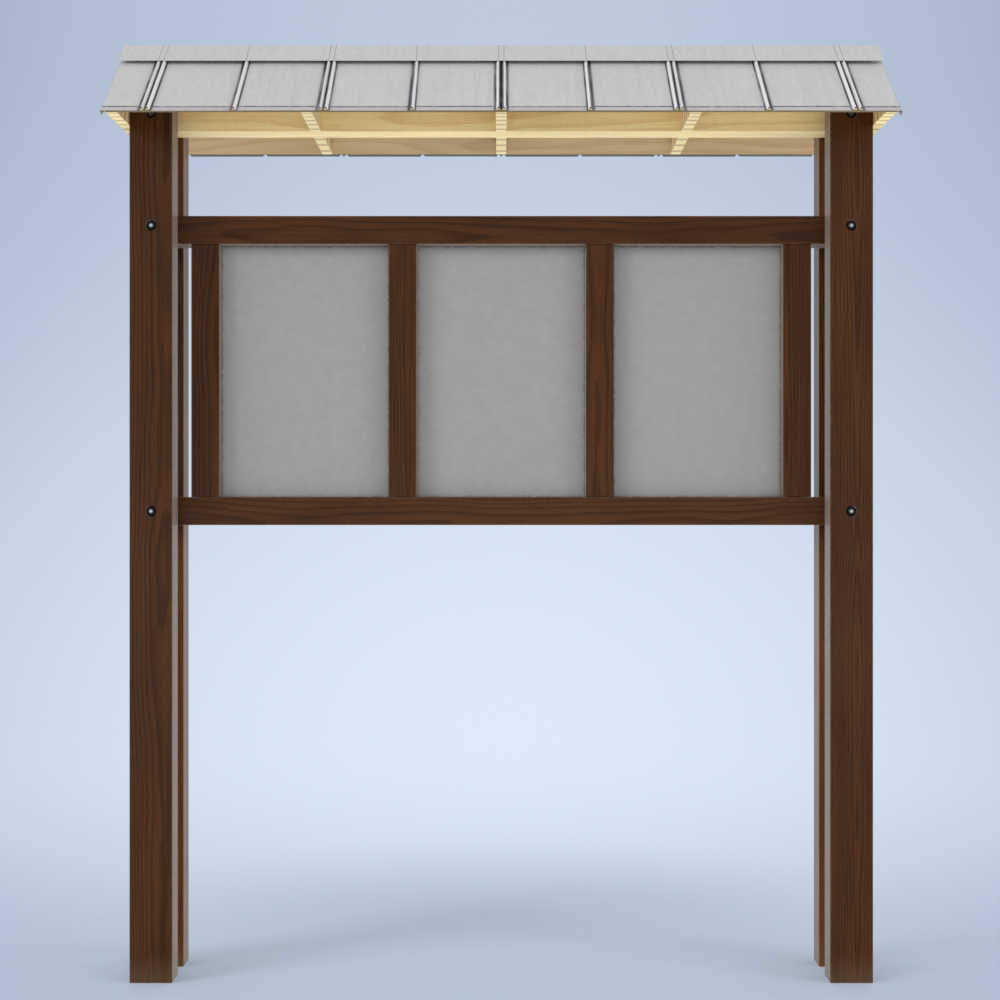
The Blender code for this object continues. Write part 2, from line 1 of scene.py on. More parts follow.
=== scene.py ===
"""Outdoor timber information kiosk: its finishes, screws, stage, lights and camera.

Metres, in the frame of the part: the origin is on the ground under the middle of the roof, the
front faces -Y and +Z is up. Each part of the kiosk keeps its own shape and gets a finish whose
grain, ribs or plies follow the way that the piece is cut and laid.
"""
import math

import bmesh
import bpy
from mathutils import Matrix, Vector


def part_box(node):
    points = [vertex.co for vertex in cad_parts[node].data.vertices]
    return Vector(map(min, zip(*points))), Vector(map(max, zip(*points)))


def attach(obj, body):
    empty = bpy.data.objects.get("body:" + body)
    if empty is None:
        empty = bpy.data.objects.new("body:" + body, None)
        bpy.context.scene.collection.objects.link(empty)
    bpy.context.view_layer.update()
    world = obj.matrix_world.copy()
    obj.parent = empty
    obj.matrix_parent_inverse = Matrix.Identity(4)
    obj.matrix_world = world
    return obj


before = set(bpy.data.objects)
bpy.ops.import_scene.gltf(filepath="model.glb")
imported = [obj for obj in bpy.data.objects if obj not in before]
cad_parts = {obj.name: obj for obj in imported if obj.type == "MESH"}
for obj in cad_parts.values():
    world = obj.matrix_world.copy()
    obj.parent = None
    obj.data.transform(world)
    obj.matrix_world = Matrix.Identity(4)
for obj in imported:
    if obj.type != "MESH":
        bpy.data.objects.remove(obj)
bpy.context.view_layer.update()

INCH = 0.0254

# Sizes of the kiosk that its finishes follow
SEAT_GAP = 0.0003
ROOF_PITCH = math.radians(40.0)
TRUSS_HEIGHT = 11.25 * INCH
EAVE_Z = 120.0 * INCH
TRUSS_APEX = EAVE_Z + TRUSS_HEIGHT
EAVE_REACH = TRUSS_HEIGHT / math.sin(ROOF_PITCH) - SEAT_GAP
DECK_THICKNESS = 19.0 / 32.0 * INCH
PLY_COUNT = 5
SHEETS_PER_SLOPE = 6
SHEET_SEAT = DECK_THICKNESS + 2.0 * SEAT_GAP
SHEET_COVER = 24.0 * INCH
HALF_COVER = SHEET_COVER / 2.0
RIB_WIDTH = 0.77 * INCH
HALF_RIB = RIB_WIDTH / 2.0
RIB_HEIGHT = 0.53 * INCH
KICK_REACH = EAVE_REACH - 0.32 * INCH
STILE_SHOULDERS = (68.0 * INCH, 104.0 * INCH)
PANEL_IN_GROOVE = 7.0 / 16.0 * INCH
BOLT_X = 49.0 * INCH
BOLT_ROWS = (66.0 * INCH, 106.0 * INCH, 121.75 * INCH)
COUNTERBORE_RADIUS = 0.75 * INCH
BOLT_RADIUS = 0.25 * INCH
HALF_THREAD = INCH / 13.0 / 2.0
THREAD_START_Y = 0.11

# How far off a surface a point still counts as on it
CUT_EDGE = 0.0004
THREAD_EDGE = 0.0002

# Rings across a truss, which grow wider from its front to its back
TRUSS_RING = 0.057
TRUSS_RING_GROWTH = 15.8
TRUSS_RING_ORIGIN_Y = -0.438
TRUSS_FIRST_RING = 6.54
TRUSS_PITH = 34.0 * TRUSS_RING

# Waves a metre in the timber's figure, along the grain and across it both ways. The ripple is a
# small share of what the rings wander.
LOG_BEND = (0.9, 2.6, 2.6)
RING_RIPPLE = (6.0, 45.0, 45.0)
RIPPLE_SHARE = 0.05
FINE_FIBRES = (5.0, 520.0, 520.0)
COARSE_FIBRES = (2.2, 110.0, 110.0)
OPEN_PORES = (30.0, 1300.0, 1300.0)
COLOUR_PATCHES = (1.3, 7.0, 7.0)

# Shares of a ring at which its late wood is full, starts to end and has ended
LATE_WOOD_FULL = 0.88
LATE_WOOD_END = (0.92, 1.0)

# How far the parts of a figure stand up from the face, against one another
RING_RELIEF = 0.35
FIBRE_RELIEF = 0.9
PORE_RELIEF = -0.4
THREAD_OVER_BRUSH_MARKS = 6.0

# Waves a metre along X, Y and Z, or across the roof and down its slope
ARRIS_CHIPS = (60.0, 60.0, 60.0)
SPLASHES = (22.0, 22.0, 9.0)
TORN_FIBRES = (160.0, 160.0, 900.0)
RAIN_STREAKS = (38.0, 1.6, 1.0)
METAL_CLOUDS = (3.5, 5.0, 1.0)
GRIME_BREAKS = (60.0, 9.0, 1.0)
SPANGLE_SCALE = 110.0
BOARD_TOOTH = (900.0, 900.0, 900.0)
BOARD_MOTTLE = (26.0, 26.0, 26.0)
BOARD_FLECKS = (210.0, 210.0, 210.0)
ZINC_BLOOM = (170.0, 170.0, 170.0)
BRUSH_MARKS = (1500.0, 300.0, 1500.0)

# Where the heart of the log lies from the middle of a timber, and its step between timbers
UPRIGHT_PITH = (0.05, 0.035)
LONG_PITH = (0.06, -0.05)
PITH_STEP = 0.03

# The bands of the plywood's face run along the roof, as if round a heart far above the ridge
PLYWOOD_PITH = (0.0, -0.9, 0.0)

# Each piece takes its own seed, a place in the patterns. The kinds start at different steps.
FIRST_SEED = (0.31, 0.17, 0.71)
SEED_STEP = (1.7, 0.83, 0.57)
SEED_STARTS = {
    "upright": 0, "long_timber": 8, "truss": 20, "deck": 30, "sheet": 41, "cap": 60, "panel": 70,
}

# How far wear, dirt and painted shade spread
RUBBED_ARRIS = 0.007
SHOULDER_LINE = 0.005
SPLASH_HEIGHT = 0.12
COUNTERBORE_FADE = 0.002
HEAD_BRIGHT_RADIUS = 0.0042
HEAD_BRIGHT_FADE = 0.0015
PANEL_RIM = 0.010
LIP_FADE = 0.003
KICK_SHADE_AND_GRIME = 0.0065
OUTER_BASE_SHADE_AND_GRIME = 0.0105
INNER_BASE_SHADE_AND_GRIME = 0.0050
LAP_SHADE_AND_GRIME = 0.0080
CAP_CREASE = 0.0022
LINE_CORE = 0.2

# How far out the pair of ribs at the roof's middle goes. Their flanks painted dark as shade face each
# other, and those of all the other ribs face the nearer end of the roof.
MIDDLE_RIBS = (0.03, 0.05)

# Screws that hold the end trusses to the posts: how far to the front and back, and how high
SCREW_PLACES = ((0.076, 3.074), (0.128, 3.122))
SCREW_HEAD_RADIUS = 0.0065
SCREW_HEAD_HEIGHT = 0.0032
SCREW_FLANGE_HEIGHT = 0.0012
SCREW_FLANGE_TAPER = 0.94
SCREW_CROWN_SHARE = 0.72
SCREW_CROWN_TAPER = 0.80
SCREW_RECESS_RADIUS = 0.0026
SCREW_RECESS_DEPTH = 0.0022
SCREW_SIDES = 32
RECESS_SIDES = 6

# The photograph's view
CAMERA_Y = -5.916
CAMERA_Z = 1.7145
CAMERA_LENS = 58.43
CAMERA_SENSOR = 36.0
CAMERA_SHIFT = (-0.00125, 0.0005)

# Stage and light
FLOOR_RADIUS = 12.0
FLOOR_SEGMENTS = 96
FLOOR_FADE = (0.7, 2.5)
ROOM_LIGHT = 0.71
SIDE_LIGHT_ANGLE = math.radians(25.0)
LEFT_LIGHT_STRENGTH = 1.05
LEFT_LIGHT_TURN = (math.radians(72.0), 0.0, math.radians(-58.0))
RIGHT_LIGHT_STRENGTH = 0.75
RIGHT_LIGHT_TURN = (math.radians(76.0), 0.0, math.radians(62.0))
LOW_LIGHT_POWER = 16.0
LOW_LIGHT_SIZE = (6.0, 1.6)
LOW_LIGHT_PLACE = (0.0, -5.6, 0.7)
LOW_LIGHT_TURN = (math.radians(112.0), 0.0, 0.0)
FLOOR_LIGHT_STRENGTH = 1.85
FLOOR_LIGHT_ANGLE = math.radians(60.0)
FLOOR_LIGHT_TURN = (math.radians(180.0), 0.0, 0.0)

# How the backdrop darkens away from its middle, by the direction that it's seen in
BACKDROP_RISE = (-0.14, 0.30)
BACKDROP_FALL = (-0.15, -0.30)
BACKDROP_SIDE = 0.295
BACKDROP_SIDE_SHARE = 0.37
BACKDROP_HEIGHT_SHARE = 0.63


def shade(red, green, blue):
    """A colour as a paint chart gives it, 0 to 255, made linear."""
    linear = []
    for level in (red, green, blue):
        part = level / 255.0
        linear.append(part / 12.92 if part <= 0.04045 else ((part + 0.055) / 1.055) ** 2.4)
    return (*linear, 1.0)


# What sets the finishes apart. A mix is the share of a colour at its strongest, or the range of
# that share, "patch" and "spangle" are ranges of tone, and "rough" is a range of roughness.
# "relief" is in metres, as the spacing and the wander of the rings are.
BROWN_STAIN = {
    "early": shade(80, 46, 20), "late": shade(47, 26, 9), "pore": shade(28, 14, 5),
    "worn": shade(120, 80, 50), "patch": (0.80, 1.20), "ring_mix": 0.50, "fibre_mix": 0.45,
    "pore_mix": 0.60, "worn_mix": 0.40, "rough": (0.30, 0.46), "specular": 0.04, "coat": 0.18,
    "sheen": 0.92, "spacing": 0.010, "late_start": 0.35, "wander": 0.07, "end": 0.72,
    "relief": 0.00035, "splash": 0.15, "shoulders": (), "widening": False,
}
# Rear posts' stain painted lighter: painted light against the shade that the front posts cast
REAR_LIGHTENED_STAIN = {
    **BROWN_STAIN, "early": shade(112, 71, 39), "late": shade(74, 46, 22), "sheen": 0.60,
}
NATURAL_PLANED = {
    "early": shade(255, 238, 182), "late": shade(232, 198, 138), "pore": shade(186, 146, 96),
    "worn": shade(252, 240, 204), "patch": (0.90, 1.10), "ring_mix": 0.48, "fibre_mix": 0.35,
    "pore_mix": 0.60, "worn_mix": 0.25, "rough": (0.45, 0.62), "specular": 0.25, "coat": 0.0,
    "sheen": 0.0, "spacing": 0.013, "late_start": 0.35, "wander": 0.09, "end": 0.86,
    "relief": 0.00030, "splash": 0.0, "shoulders": (), "widening": False,
}
NATURAL_BANDED = {
    **NATURAL_PLANED, "early": shade(255, 240, 174), "late": shade(184, 146, 86),
    "patch": (0.96, 1.04), "ring_mix": 0.95, "fibre_mix": 0.10, "sheen": 0.6, "spacing": TRUSS_RING,
    "late_start": 0.56, "wander": 0.010, "end": 1.0, "widening": True,
}
PLYWOOD = {
    "early": shade(206, 180, 138), "late": shade(190, 160, 114), "ring_mix": 0.55, "fibre_mix": 0.40,
    "patch": (0.88, 1.10), "spacing": 0.055, "late_start": 0.30, "wander": 0.45,
    "long_ply": shade(252, 236, 188), "cross_ply": shade(214, 184, 132), "torn": shade(176, 144, 98),
    "torn_mix": 0.30, "damp": shade(104, 92, 66), "damp_mix": 0.85, "rough": (0.55, 0.75),
    "relief": 0.0002,
}
# Pale rib tops are a painted highlight; the dark flanks, lip and bend lines are painted shade, the last
# with grime
ROOF_METAL = {
    "base": shade(201, 198, 196), "streak": shade(180, 176, 174), "streak_mix": 0.35,
    "cloud": shade(209, 206, 205), "cloud_mix": 0.30, "spangle": (0.965, 1.035),
    "washed_highlight": shade(250, 249, 249), "washed_highlight_mix": 0.72, "shaded_flank": shade(90, 88, 89),
    "shaded_flank_mix": (0.66, 0.88), "lip_shade": shade(166, 158, 164), "lip_shade_mix": 0.35,
    "grime_and_shade": shade(44, 42, 43), "grime_and_shade_mix": (0.60, 0.95), "underside": shade(112, 110, 106),
    "cap_crease_line": shade(104, 101, 101), "cap_crease_line_mix": 0.55, "metallic": 0.10, "specular": 0.35,
    "rough": (0.36, 0.54), "relief": 0.0006, "relief_strength": 0.6,
}
# The board's dark edge colour is painted shade along the frame, with some dirt
GREY_BOARD = {
    "base": shade(153, 151, 151), "mottle": shade(159, 157, 157), "fleck": shade(173, 171, 170),
    "fleck_mix": 0.35, "tooth": shade(138, 136, 136), "tooth_mix": 0.30, "edge_shade_and_dirt": shade(78, 74, 70),
    "edge_shade_and_dirt_mix": 0.65, "rough": (0.52, 0.68), "relief": 0.00015,
}
BRIGHT_ZINC = {"bright": shade(226, 228, 224), "dull": shade(186, 188, 184), "rough": (0.32, 0.50)}
# Washers painted near black: painted shade of the counterbores, with some soil
SHADE_DARKENED_ZINC = {"bright": shade(40, 40, 37), "dull": shade(24, 24, 22), "rough": (0.50, 0.70)}
ZINC_LOOKS = {
    "bolt": {**BRIGHT_ZINC, "shade_and_soil_share": 0.88},
    "nut": {**BRIGHT_ZINC, "shade_and_soil_share": 0.60},
    "washer": {**SHADE_DARKENED_ZINC, "shade_and_soil_share": 0.0},
}

# What all timbers share, and all zinc
COAT_ROUGHNESS = 0.22
SHEEN_ROUGHNESS = 0.3
SHEEN_TINT = shade(255, 246, 238)
ZINC_METALLIC = 0.9
ZINC_RELIEF = 0.00006

# Dirt, and shade painted into joints, counterbores and bolts, with the shares that cover what lies
# under them
SHOULDER_SHADOW = shade(20, 12, 7)
SHOULDER_SHARE = 0.75
# Counterbores painted near black: painted shade in the recess, with some dirt
COUNTERBORE_SHADE_AND_DIRT = shade(18, 12, 8)
COUNTERBORE_SHARE = 0.85
# Bolt heads darkened: painted shade, with some soil
BOLT_SHADE_AND_SOIL = shade(30, 30, 28)
GROUND_DUST = shade(134, 118, 98)

# Floor and backdrop
FLOOR_LIT = shade(242, 242, 240)
FLOOR_SEEN = shade(202, 216, 235)
BACKDROP_MIDDLE = shade(221, 233, 249)
BACKDROP_EDGE = shade(167, 182, 203)
WHITE = shade(255, 255, 255)


class Graph:
    """A node tree with short calls for the nodes that the finishes are made of."""

    def __init__(self, tree):
        self.tree = tree

    def feed(self, socket, value):
        """Links a socket to a node's output, or sets it to a plain value."""
        if isinstance(value, bpy.types.NodeSocket):
            self.tree.links.new(value, socket)
        else:
            socket.default_value = value

    def add(self, kind, feeds=(), **settings):
        """A new node with its settings and with what its inputs are fed."""
        node = self.tree.nodes.new(kind)
        for name, value in settings.items():
            setattr(node, name, value)
        for key, value in dict(feeds).items():
            self.feed(node.inputs[key], value)
        return node

    def group(self, tree, feeds):
        """A shared effect, placed with its own values."""
        return self.add("ShaderNodeGroup", feeds, node_tree=tree).outputs

    def math(self, operation, *values, clamp=False):
        """One operation on numbers."""
        node = self.add("ShaderNodeMath", operation=operation, use_clamp=clamp)
        for socket, value in zip(node.inputs, values):
            self.feed(socket, value)
        return node.outputs[0]

    def vector(self, operation, *values, output="Vector"):
        """One operation on vectors."""
        node = self.add("ShaderNodeVectorMath", operation=operation)
        for socket, value in zip(node.inputs, values):
            self.feed(socket, value)
        return node.outputs[output]

    def times(self, first, *others):
        """Numbers multiplied in turn."""
        for other in others:
            first = self.math("MULTIPLY", first, other)
        return first

    def largest(self, first, *others):
        """The largest of some numbers."""
        for other in others:
            first = self.math("MAXIMUM", first, other)
        return first

    def split(self, vector):
        """The X, Y and Z of a vector."""
        return self.add("ShaderNodeSeparateXYZ", {"Vector": vector}).outputs

    def join(self, x, y, z):
        """A vector from its X, Y and Z."""
        return self.add("ShaderNodeCombineXYZ", {"X": x, "Y": y, "Z": z}).outputs[0]

    def mix(self, factor, first, second, blend="MIX"):
        """Two colours, mixed or blended by a factor."""
        node = self.add("ShaderNodeMix", data_type="RGBA", blend_type=blend)
        self.feed(node.inputs[0], factor)
        self.feed(node.inputs[6], first)
        self.feed(node.inputs[7], second)
        return node.outputs[2]

    def cover(self, colour, mask, share, over):
        """A colour with another over it, up to a share, where the mask is 1."""
        return self.mix(self.times(mask, share), colour, over)

    def tone(self, colour, factor):
        """A colour made darker by a factor under 1, or lighter by one over it."""
        return self.mix(1.0, colour, self.join(factor, factor, factor), "MULTIPLY")

    def spread(self, value, low, high, to_low=0.0, to_high=1.0):
        """Moves a value from one range to another, with soft ends."""
        return self.add("ShaderNodeMapRange", {
            "Value": value, "From Min": low, "From Max": high, "To Min": to_low, "To Max": to_high,
        }, interpolation_type="SMOOTHSTEP").outputs["Result"]

    def near(self, value, target, width):
        """1 where a value is at its target, fading to 0 over the width on both sides."""
        away = self.math("ABSOLUTE", self.math("SUBTRACT", value, target))
        return self.spread(away, width * LINE_CORE, width, 1.0, 0.0)

    def noise(self, vector, scale, detail=2.0, roughness=0.5):
        """Noise that is stretched by its scale along each axis."""
        stretched = self.vector("MULTIPLY", vector, scale)
        feeds = {"Vector": stretched, "Scale": 1.0, "Detail": detail, "Roughness": roughness}
        return self.add("ShaderNodeTexNoise", feeds).outputs[0]


FLOAT, VECTOR = "NodeSocketFloat", "NodeSocketVector"


def new_group(name, inputs, outputs):
    """An empty group with its sockets, as its graph, what it is given and what it puts out."""
    tree = bpy.data.node_groups.new(name, "ShaderNodeTree")
    for socket_name, kind in inputs:
        tree.interface.new_socket(socket_name, in_out="INPUT", socket_type=kind)
    for socket_name in outputs:
        tree.interface.new_socket(socket_name, in_out="OUTPUT", socket_type=FLOAT)
    given = tree.nodes.new("NodeGroupInput").outputs
    result = tree.nodes.new("NodeGroupOutput").inputs
    return Graph(tree), given, result


def make_timber_figure():
    """Growth rings round a pith, fibres, pores and slow patches. The grain runs along X."""
    graph, given, result = new_group(
        "timber_figure",
        [("Position", VECTOR), ("Seed", VECTOR), ("Pith", VECTOR),
         ("Ring Spacing", FLOAT), ("Late Start", FLOAT), ("Wander", FLOAT)],
        ["Rings", "Fibres", "Pores", "Patches", "Height"],
    )
    place = graph.vector("ADD", given["Position"], given["Seed"])
    from_pith = graph.vector("SUBTRACT", given["Position"], given["Pith"])
    round_pith = graph.vector("MULTIPLY", from_pith, (0.0, 1.0, 1.0))
    radius = graph.vector("LENGTH", round_pith, output="Value")
    bend = graph.math("SUBTRACT", graph.noise(place, LOG_BEND, 2.0), 0.5)
    ripple = graph.math("SUBTRACT", graph.noise(place, RING_RIPPLE, 1.0), 0.5)
    drift = graph.times(bend, given["Wander"])
    drift = graph.math("MULTIPLY_ADD", ripple, graph.times(given["Wander"], RIPPLE_SHARE), drift)
    phase = graph.math("DIVIDE", graph.math("ADD", radius, drift), given["Ring Spacing"])
    phase = graph.math("FRACT", phase)
    late_wood = graph.spread(phase, given["Late Start"], LATE_WOOD_FULL)
    rings = graph.times(late_wood, graph.spread(phase, *LATE_WOOD_END, 1.0, 0.0))
    fine = graph.noise(place, FINE_FIBRES, 3.0, 0.6)
    coarse = graph.noise(place, COARSE_FIBRES, 2.0, 0.55)
    fibres = graph.math("ADD", graph.times(fine, 0.5), graph.times(coarse, 0.5))
    pores = graph.spread(graph.noise(place, OPEN_PORES, 1.0), 0.60, 0.72)
    patches = graph.noise(place, COLOUR_PATCHES, 3.0, 0.6)
    height = graph.math("MULTIPLY_ADD", rings, RING_RELIEF, graph.times(fibres, FIBRE_RELIEF))
    height = graph.math("MULTIPLY_ADD", pores, PORE_RELIEF, height)
    for name, value in (("Rings", rings), ("Fibres", fibres), ("Pores", pores),
                        ("Patches", patches), ("Height", height)):
        graph.feed(result[name], value)
    return graph.tree


def make_arris_mask():
    """How near a point of a squared timber or board is to its nearest edge."""
    graph, given, result = new_group(
        "arris_mask",
        [("Position", VECTOR), ("Low", VECTOR), ("High", VECTOR), ("Width", FLOAT)],
        ["Mask"],
    )
    from_low = graph.vector("SUBTRACT", given["Position"], given["Low"])
    to_high = graph.vector("SUBTRACT", given["High"], given["Position"])
    x, y, z = graph.split(graph.vector("MINIMUM", from_low, to_high))
    least = graph.math("MINIMUM", x, graph.math("MINIMUM", y, z))
    most = graph.math("MAXIMUM", x, graph.math("MAXIMUM", y, z))
    total = graph.math("ADD", x, graph.math("ADD", y, z))
    middle = graph.math("SUBTRACT", total, graph.math("ADD", least, most))
    chips = graph.noise(given["Position"], ARRIS_CHIPS, 3.0, 0.65)
    reach = graph.times(given["Width"], graph.spread(chips, 0.3, 0.7, 0.35, 1.4))
    graph.feed(result["Mask"], graph.spread(graph.math("DIVIDE", middle, reach), 0.0, 1.0, 1.0, 0.0))
    return graph.tree


def make_slope_place():
    """Where a point of the roof lies: across it, down its slope, and over the trusses."""
    graph, given, result = new_group(
        "slope_place", [("Position", VECTOR)], ["Across", "Reach", "Height"],
    )
    x, y, z = graph.split(given["Position"])
    out = graph.math("ABSOLUTE", y)
    down = graph.math("SUBTRACT", TRUSS_APEX, z)
    sine, cosine = math.sin(ROOF_PITCH), math.cos(ROOF_PITCH)
    reach = graph.math("MULTIPLY_ADD", down, sine, graph.times(out, cosine))
    height = graph.math("MULTIPLY_ADD", down, -cosine, graph.times(out, sine))
    graph.feed(result["Across"], x)
    graph.feed(result["Reach"], reach)
    graph.feed(result["Height"], height)
    return graph.tree


def make_ground_splash():
    """Dust that rain throws up onto the foot of whatever stands on the ground."""
    graph, given, result = new_group(
        "ground_splash", [("Position", VECTOR), ("Height", FLOAT)], ["Mask"],
    )
    z = graph.split(given["Position"])["Z"]
    splashes = graph.noise(given["Position"], SPLASHES, 4.0, 0.65)
    top = graph.times(given["Height"], graph.math("ADD", splashes, 0.5))
    graph.feed(result["Mask"], graph.spread(graph.math("DIVIDE", z, top), 0.0, 1.0, 1.0, 0.0))
    return graph.tree


def make_bolt_distance():
    """How far a point is from the middle line of the nearest through bolt."""
    graph, given, result = new_group("bolt_distance", [("Position", VECTOR)], ["Distance"])
    x, _, z = graph.split(given["Position"])
    aside = graph.math("SUBTRACT", graph.math("ABSOLUTE", x), BOLT_X)
    rows = [graph.math("ABSOLUTE", graph.math("SUBTRACT", z, row)) for row in BOLT_ROWS]
    above = graph.math("MINIMUM", rows[0], graph.math("MINIMUM", rows[1], rows[2]))
    away = graph.vector("LENGTH", graph.join(aside, above, 0.0), output="Value")
    graph.feed(result["Distance"], away)
    return graph.tree


TIMBER_FIGURE = make_timber_figure()
ARRIS_MASK = make_arris_mask()
SLOPE_PLACE = make_slope_place()
GROUND_SPLASH = make_ground_splash()
BOLT_DISTANCE = make_bolt_distance()


def new_finish(name):
    """An empty material, as its graph, its Principled shader and the Object coordinates."""
    material = bpy.data.materials.new(name)
    material.use_nodes = True
    graph = Graph(material.node_tree)
    shader = material.node_tree.nodes["Principled BSDF"]
    position = graph.add("ShaderNodeTexCoord").outputs["Object"]
    return material, graph, shader, position


def set_all_over(shader, levels):
    """Sets what is the same all over a surface."""
    for name, level in levels.items():
        shader.inputs[name].default_value = level


def bump(graph, shader, height, distance, strength=1.0):
    """Makes a pattern's height catch the light. The distance, in metres, is the height's unit."""
    node = graph.add("ShaderNodeBump", {"Height": height, "Distance": distance, "Strength": strength})
    graph.feed(shader.inputs["Normal"], node.outputs[0])


def place_figure(graph, position, seed, pith, look):
    """The timber figure, placed with the rings of a look."""
    return graph.group(TIMBER_FIGURE, {
        "Position": position, "Seed": seed, "Pith": pith,
        "Ring Spacing": look["spacing"], "Late Start": look["late_start"], "Wander": look["wander"],
    })


def wood_colour(graph, figure, look):
    """Early wood that turns to late wood by its rings and fibres."""
    ring_share = graph.times(figure["Rings"], look["ring_mix"])
    fibre_share = graph.spread(figure["Fibres"], 0.30, 0.70, 0.0, look["fibre_mix"])
    late_share = graph.math("ADD", ring_share, fibre_share, clamp=True)
    return graph.mix(late_share, look["early"], look["late"])


def truss_ring_place(graph, y):
    """Evens out a truss's rings, which grow wider to the back, so that one spacing fits them all."""
    from_origin = graph.math("SUBTRACT", y, TRUSS_RING_ORIGIN_Y)
    ring_count = graph.times(graph.math("SQRT", from_origin), TRUSS_RING_GROWTH)
    return graph.times(graph.math("SUBTRACT", ring_count, TRUSS_FIRST_RING), TRUSS_RING)


def end_grain_tone(graph, grain_axis, tone):
    """1 on the sides of a timber, and the tone where a face cuts across the grain."""
    normal = graph.add("ShaderNodeNewGeometry").outputs["Normal"]
    facing = graph.math("ABSOLUTE", graph.split(normal)[grain_axis])
    return graph.spread(graph.spread(facing, 0.80, 0.95), 0.0, 1.0, 1.0, tone)


def timber_wear(graph, colour, look, position, low, high):
    """Rubbed arrises, shadow lines at the shoulders and dust from the ground."""
    arris = graph.group(ARRIS_MASK, {
        "Position": position, "Low": low, "High": high, "Width": RUBBED_ARRIS,
    })["Mask"]
    colour = graph.cover(colour, arris, look["worn_mix"], look["worn"])
    for shoulder in look["shoulders"]:
        line = graph.near(graph.split(position)["Z"], shoulder, SHOULDER_LINE)
        colour = graph.cover(colour, line, SHOULDER_SHARE, SHOULDER_SHADOW)
    if look["splash"]:
        splash = graph.group(GROUND_SPLASH, {"Position": position, "Height": SPLASH_HEIGHT})["Mask"]
        colour = graph.cover(colour, splash, look["splash"], GROUND_DUST)
    return colour


def timber_finish(name, look, grain, low, high, seed, pith):
    """Stained or bare timber. The grain names the axis that it runs along, then the other two."""
    material, graph, shader, position = new_finish(name)
    parts = dict(zip("XYZ", graph.split(position)))
    if look["widening"]:
        parts["Y"] = truss_ring_place(graph, parts["Y"])
    along = graph.join(*[parts[axis] for axis in grain])
    figure = place_figure(graph, along, seed, pith, look)
    colour = wood_colour(graph, figure, look)
    colour = graph.cover(colour, figure["Pores"], look["pore_mix"], look["pore"])
    colour = graph.tone(colour, graph.spread(figure["Patches"], 0.25, 0.75, *look["patch"]))
    colour = graph.tone(colour, end_grain_tone(graph, grain[0], look["end"]))
    colour = timber_wear(graph, colour, look, position, low, high)
    if look["coat"]:
        # Counterbores painted near black: painted shade in the recess, with some dirt
        from_bolt = graph.group(BOLT_DISTANCE, {"Position": position})["Distance"]
        rim = COUNTERBORE_RADIUS + COUNTERBORE_FADE
        in_hole = graph.spread(from_bolt, COUNTERBORE_RADIUS, rim, 1.0, 0.0)
        colour = graph.cover(colour, in_hole, COUNTERBORE_SHARE, COUNTERBORE_SHADE_AND_DIRT)
        graph.feed(shader.inputs["Coat Weight"], graph.spread(in_hole, 0.0, 1.0, look["coat"], 0.0))
    roughness = graph.spread(figure["Fibres"], 0.25, 0.75, *look["rough"])
    graph.feed(shader.inputs["Base Color"], colour)
    graph.feed(shader.inputs["Roughness"], roughness)
    set_all_over(shader, {
        "Specular IOR Level": look["specular"], "Coat Roughness": COAT_ROUGHNESS,
        "Sheen Weight": look["sheen"], "Sheen Roughness": SHEEN_ROUGHNESS, "Sheen Tint": SHEEN_TINT,
    })
    bump(graph, shader, figure["Height"], look["relief"])
    return material


def cut_plies(graph, place, position):
    """The deck's cut edge: plies by turns along and across, torn fibres and a damp lower strip."""
    ply_place = graph.times(place["Height"], PLY_COUNT / DECK_THICKNESS)
    ply = graph.spread(graph.math("PINGPONG", ply_place, 1.0), 0.42, 0.58)
    colour = graph.mix(ply, PLYWOOD["long_ply"], PLYWOOD["cross_ply"])
    torn = graph.spread(graph.noise(position, TORN_FIBRES, 2.0), 0.35, 0.7, 0.0, PLYWOOD["torn_mix"])
    colour = graph.mix(torn, colour, PLYWOOD["torn"])
    damp = graph.spread(place["Height"], DECK_THICKNESS * 0.52, DECK_THICKNESS * 0.74, 1.0, 0.0)
    return graph.cover(colour, damp, PLYWOOD["damp_mix"], PLYWOOD["damp"])


def plywood_finish(name, half_length, seed):
    """A rotary-cut face veneer, with the plies on show at the cut edges."""
    material, graph, shader, position = new_finish(name)
    place = graph.group(SLOPE_PLACE, {"Position": position})
    flat = graph.join(place["Across"], place["Reach"], 0.0)
    figure = place_figure(graph, flat, seed, PLYWOOD_PITH, PLYWOOD)
    past_eave = graph.math("GREATER_THAN", place["Reach"], EAVE_REACH - CUT_EDGE)
    from_middle = graph.math("ABSOLUTE", place["Across"])
    past_end = graph.math("GREATER_THAN", from_middle, half_length - CUT_EDGE)
    on_edge = graph.largest(past_eave, past_end)
    colour = graph.mix(on_edge, wood_colour(graph, figure, PLYWOOD), cut_plies(graph, place, position))
    colour = graph.tone(colour, graph.spread(figure["Patches"], 0.25, 0.75, *PLYWOOD["patch"]))
    roughness = graph.spread(figure["Fibres"], 0.25, 0.75, *PLYWOOD["rough"])
    graph.feed(shader.inputs["Base Color"], colour)
    graph.feed(shader.inputs["Roughness"], roughness)
    bump(graph, shader, figure["Height"], PLYWOOD["relief"])
    return material


def creased_cap(graph, colour, from_lap):
    """Darker lines down the cap, over the ribs under it."""
    over_pair = graph.near(from_lap, HALF_RIB, CAP_CREASE)
    over_single_rib = graph.near(from_lap, HALF_COVER, CAP_CREASE)
    creases = graph.largest(over_pair, over_single_rib)
    return graph.cover(colour, creases, ROOF_METAL["cap_crease_line_mix"], ROOF_METAL["cap_crease_line"])


